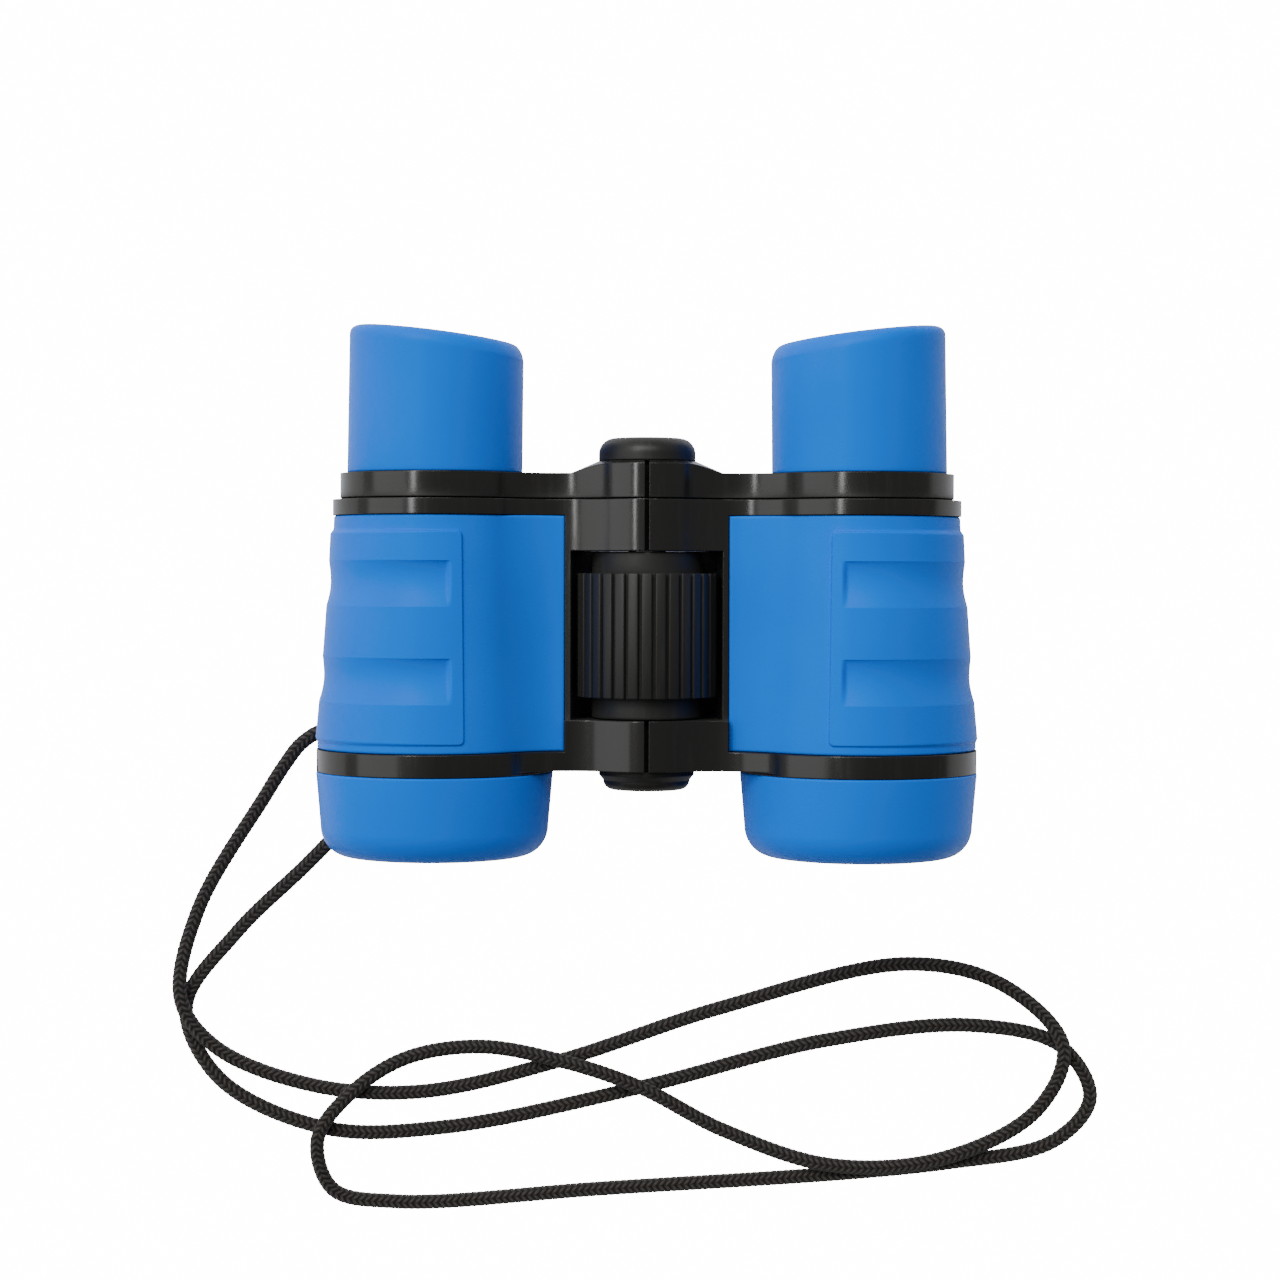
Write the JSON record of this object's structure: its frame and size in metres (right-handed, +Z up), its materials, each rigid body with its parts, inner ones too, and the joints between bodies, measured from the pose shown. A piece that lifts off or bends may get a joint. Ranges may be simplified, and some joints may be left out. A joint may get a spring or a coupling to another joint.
{
  "type": "toy binoculars",
  "caption": "Toy binoculars with straight barrels, ribbed centre focus wheel, folding hinge, winged rubber eyecups, finger-groove grips, rubber objective rims and a neck cord.",
  "frame": {"origin": "Centre of the box around the binoculars without the cord, on the surface they lie on.", "axes": "+X to the right barrel, +Y along the optical axes to the eyepieces, +Z up to the focus wheel."},
  "size_m": [0.154, 0.1462, 0.038],
  "materials": {
    "black_shell": "glossy moulded black",
    "black_satin": "satin black",
    "blue_rubber": "matte azure blue",
    "lens": "clear polished",
    "steel": "zinc plated",
    "cord": "braided black"
  },
  "bodies": {
    "left_barrel": {"left_barrel_housing": "black_shell", "left_grip_armour": "blue_rubber", "left_objective_rim": "blue_rubber", "left_objective_lens": "lens", "left_objective_ring": "black_satin", "left_strap_eye": "black_satin", "bottom_cap": "black_satin", "neck_cord": "cord", "cord_knot": "cord"},
    "right_barrel": {"right_barrel_housing": "black_shell", "right_grip_armour": "blue_rubber", "right_objective_rim": "blue_rubber", "right_objective_lens": "lens", "right_objective_ring": "black_satin", "right_strap_eye": "black_satin"},
    "focus_wheel": {"focus_wheel": "black_satin"},
    "left_eyepiece": {"left_eyepiece_arm": "black_shell", "left_eyepiece_lens": "lens", "left_eyepiece_ring": "black_satin", "left_eyecup": "blue_rubber", "focus_screw": "steel", "retaining_washer": "steel", "retaining_screw": "steel", "top_cap": "black_satin"},
    "right_eyepiece": {"right_eyepiece_arm": "black_shell", "right_eyepiece_lens": "lens", "right_eyepiece_ring": "black_satin", "right_eyecup": "blue_rubber"}
  },
  "joints": [
    {"name": "fold", "type": "hinge", "parent": "left_barrel", "child": "right_barrel", "pos_m": [0, 0, 0.022], "axis": [0, 1, 0], "range_deg": [0, 40]},
    {"name": "focus_turn", "type": "hinge", "parent": "left_barrel", "child": "focus_wheel", "pos_m": [0, 0, 0.022], "axis": [0, 1, 0], "range_deg": [0, 240]},
    {"name": "left_eyepiece_slide", "type": "slide", "parent": "left_barrel", "child": "left_eyepiece", "axis": [0, 1, 0], "range_m": [0, 0.004]},
    {"name": "right_eyepiece_slide", "type": "slide", "parent": "right_barrel", "child": "right_eyepiece", "axis": [0, 1, 0], "range_m": [0, 0.004]}
  ],
  "couplings": [
    {"joint": "focus_turn", "follows": "left_eyepiece_slide", "rad_per_m": 1047},
    {"joint": "right_eyepiece_slide", "follows": "left_eyepiece_slide", "ratio": 1}
  ]
}
